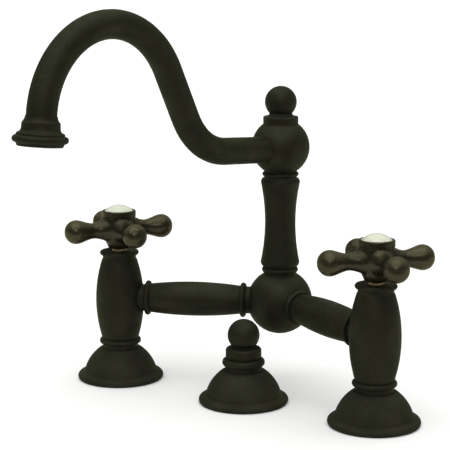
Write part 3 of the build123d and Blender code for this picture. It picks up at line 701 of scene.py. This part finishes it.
# %% Place the two handles
def mark_handled(piece, axis_x, start, end):
    """Stores how much each point is rubbed by hands: from 0 at the hub to 1 at the arms' balls."""
    shares = []
    for point in piece.data.vertices:
        reach = math.hypot(point.co.x - axis_x, point.co.y) / MM
        share = min(max((reach - start) / (end - start), 0.0), 1.0)
        shares.append(share * share * (3 - 2 * share))
    piece.data.attributes.new("handled", "FLOAT", "POINT").data.foreach_set("value", shares)


sides = {"left": -0.1016, "right": 0.1016}        # the columns' places along X, in metres
handle_turns = {"left": -33.1, "right": -39.9}    # of the front arm from X, in degrees
wear_start, wear_full = 17.0, 31.0                # from the handle's axis, in millimetres
castings = {"left": pattern, "right": copied(pattern, "right_handle_casting")}
pattern.name = pattern.data.name = "left_handle_casting"
for side, casting in castings.items():
    move(casting, (sides[side], 0, foot * MM), math.radians(handle_turns[side]))
    mark_handled(casting, sides[side], wear_start, wear_full)
    dress(casting, handle_bronze)
    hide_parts(f"{side}_cross_handle")
    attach(casting, f"{side}_handle")

# %% [markdown]
# ## Threaded shanks and lift-rod guide
#
# The faucet is clamped to the deck by nuts on threaded tubes. A thread is one V-shaped profile, one pitch
# long, carried round and up together. The Screw modifier does just that; neighbouring turns share their
# edges, so merging them gives one skin. The ragged ends are sliced flat with Bisect, which also closes
# them, and the plain spigot and the bore are added and cut afterwards. A bump could only hint at a
# thread: its outline, seen from the side under the deck, would stay straight.

# %% Threads
def threaded_bar(name, radius, pitch, bottom, top):
    """A closed bar with a real helical thread between two heights."""
    start, root = bottom - 1.5 * pitch, radius - 0.55 * pitch
    shares = ((0, radius), (0.14, radius), (0.5, root), (0.64, root), (1.0, radius))
    bar = draw_profile(name, [(r, start + share * pitch) for share, r in shares])
    screw = bar.modifiers.new("screw", "SCREW")
    screw.axis = "Z"
    screw.screw_offset = pitch * MM
    screw.iterations = math.ceil((top - start) / pitch) + 1
    screw.steps = screw.render_steps = 40
    bpy.ops.object.modifier_apply(modifier=screw.name)
    bpy.ops.object.mode_set(mode="EDIT")
    bpy.ops.mesh.select_all(action="SELECT")
    bpy.ops.mesh.remove_doubles(threshold=0.002 * MM)
    for height, outward in ((bottom, -1), (top, 1)):
        bpy.ops.mesh.select_all(action="SELECT")
        bpy.ops.mesh.bisect(
            plane_co=(0, 0, height * MM), plane_no=(0, 0, outward), use_fill=True, clear_outer=True
        )
    bpy.ops.mesh.select_all(action="SELECT")
    bpy.ops.mesh.normals_make_consistent(inside=False)
    bpy.ops.object.mode_set(mode="OBJECT")
    return bar


def plain_bar(radius, bottom, top):
    return lathe("plain bar", [(0, bottom), (radius, bottom), (radius, top), (0, top)])


print("thread maker ready")

# %% Shanks and guide
pipe_pitch, guide_pitch = 1.814, 1.27
shank_r, supply_r, spigot_r, waterway_r = 11.0, 10.4, 9.0, 5.5
shank_foot, shank_top = -44.0, 22.3        # from the deck, as all heights here
supply_foot, supply_top = -62.0, -43.6     # its top reaches into the shank
spigot_foot, spigot_top = 20.0, 34.0
guide_r, guide_bore_r, guide_foot, guide_top = 7.0, 3.0, -42.0, 32.0
drill_foot, drill_top = -70.0, 40.0        # past both ends of every tube
lift_rod_place = (4.6, -3.7)

shank = threaded_bar("left_threaded_shank", shank_r, pipe_pitch, shank_foot, shank_top)
supply_end = threaded_bar("supply end", supply_r, pipe_pitch, supply_foot, supply_top)
carve(shank, supply_end, "UNION")
carve(shank, plain_bar(spigot_r, spigot_foot, spigot_top), "UNION")
carve(shank, plain_bar(waterway_r, drill_foot, drill_top))
guide = threaded_bar("threaded_guide", guide_r, guide_pitch, guide_foot, guide_top)
carve(guide, plain_bar(guide_bore_r, drill_foot, drill_top))
shanks = {"left": shank, "right": copied(shank, "right_threaded_shank")}
for side, piece in shanks.items():
    move(piece, (sides[side], 0, 0))
    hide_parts(f"{side}_shank")
move(guide, (lift_rod_place[0] * MM, lift_rod_place[1] * MM, 0))
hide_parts("lift_rod_guide")
for piece in [*shanks.values(), guide]:
    alone(piece)
    bpy.ops.object.shade_smooth_by_angle(angle=math.radians(25))
    dress(piece, turned_brass)
    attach(piece, "faucet_body")
    print(piece.name, len(piece.data.polygons), "faces")

# %% [markdown]
# ## Floor
#
# The deck is a wide pale floor that fills the picture, matte and almost white, so that nothing on it
# draws the eye and the faucet's feet stand out against their soft shadow.

# %% Floor
select_none()
floor_radius = 14.0
bpy.ops.mesh.primitive_circle_add(vertices=96, radius=floor_radius, fill_type="NGON", location=(0, 0, 0))
floor = bpy.context.object
floor.name = "deck_floor"
material, tree, surface = start_material("pale deck")
tone = place_group(tree, clouds, Size=1.5, Low=0.3, High=0.7)
colour = blend_colour(tree, "tone", tone.outputs["Mask"], (0.93, 0.93, 0.925), (0.91, 0.91, 0.905))
join(tree, (colour, surface.inputs["Base Color"]))
set_inputs(surface, {"Roughness": 0.9, "Specular IOR Level": 0.1})
dress(floor, material)
print("floor:", floor.name)

# %% [markdown]
# ## Black card
#
# Photographers lay a black card in front of dark metal: every upright face mirrors it, and so stays dark.
# A darker floor would do the same, but the picture's floor is white. The card lies outside the picture on
# the camera's side, is seen by reflections only and throws no shadow.

# %% Black card
toward = (0.530, -0.848)
card_distance = 1.30
card_place = (toward[0] * card_distance, toward[1] * card_distance, 0.001)
bpy.ops.mesh.primitive_plane_add(size=2.0, location=(0, 0, 0))
card = bpy.context.object
card.name = "black_card"
move(card, card_place, math.atan2(toward[0], -toward[1]))
card.visible_camera = card.visible_diffuse = card.visible_shadow = False
material, tree, surface = start_material("black felt")
felt = place_group(tree, grain, Size=400.0)
colour = blend_colour(tree, "felt", felt.outputs["Speckle"], (0.012, 0.012, 0.012), (0.022, 0.022, 0.022))
join(tree, (colour, surface.inputs["Base Color"]))
set_inputs(surface, {"Roughness": 0.95, "Specular IOR Level": 0.1})
dress(card, material)
print("card:", card.name)

# %% [markdown]
# ## World, sun and lamp
#
# The light is a white tent: bright overhead and behind, softer at the sides and dim on the camera's side,
# so that the dark metal shows pale rims and dark faces. A world shader works its brightness out from the
# direction alone: one step rises with height, another falls towards the camera, and their product is the
# strength. Looked at directly, as in a low side view, the backdrop is as white as the lit floor. One wide
# sun gives the soft shadow on the deck, and a small lamp over the camera puts the glints on the handles'
# balls. The lamp shows in glossy surfaces only.

# %% World light
world = bpy.data.worlds.new("white tent")
bpy.context.scene.world = world
world.use_nodes = True
tree = world.node_tree
sky = tree.nodes["Background"]
direction = add(tree, "ShaderNodeTexCoord")
parts = add(tree, "ShaderNodeSeparateXYZ")
overhead = soft_step(tree, "overhead", 0.1, 0.95, first=0.32, last=1.30)
camera_side = (0.53, -0.84, 0.0)
toward_camera = add(tree, "ShaderNodeVectorMath", "toward the camera", operation="DOT_PRODUCT")
set_inputs(toward_camera, {1: camera_side})
front = soft_step(tree, "dim front", -0.6, 0.9, first=1.15, last=0.04)
strength = add(tree, "ShaderNodeMath", "strength", operation="MULTIPLY")
seen = add(tree, "ShaderNodeLightPath")
backdrop = add(tree, "ShaderNodeMix", "white backdrop", inputs={3: 1.05}, data_type="FLOAT")
join(
    tree,
    (direction.outputs["Generated"], parts.inputs[0]),
    (parts.outputs["Z"], overhead.inputs["Value"]),
    (direction.outputs["Generated"], toward_camera.inputs[0]),
    (toward_camera.outputs["Value"], front.inputs["Value"]),
    (overhead.outputs["Result"], strength.inputs[0]),
    (front.outputs["Result"], strength.inputs[1]),
    (seen.outputs["Is Camera Ray"], backdrop.inputs[0]),
    (strength.outputs[0], backdrop.inputs[2]),
    (backdrop.outputs[0], sky.inputs["Strength"]),
)
set_inputs(sky, {"Color": (1.0, 1.0, 0.985, 1)})
bpy.context.scene.view_settings.view_transform = "Standard"
print("world:", world.name)

# %% Sun and lamp
sun_data = bpy.data.lights.new("soft sun", "SUN")
sun_data.energy = 2.0
sun_data.angle = math.radians(75)
sun = bpy.data.objects.new("soft sun", sun_data)
sun.rotation_euler = (math.radians(26), 0, math.radians(26))
bpy.context.scene.collection.objects.link(sun)

lamp_data = bpy.data.lights.new("glint lamp", "AREA")
lamp_data.size = 0.10
lamp_data.energy = 0.9
lamp = bpy.data.objects.new("glint lamp", lamp_data)
lamp.location = (0.50, -0.80, 0.55)
lamp.rotation_euler = (math.radians(65), 0, math.radians(32))
lamp.visible_diffuse = False
bpy.context.scene.collection.objects.link(lamp)
print("lights:", sun.name, "and", lamp.name)

# %% [markdown]
# ## End of the scene
#
# Every piece is dressed and the light is set.

# %% End
print("scene ready")
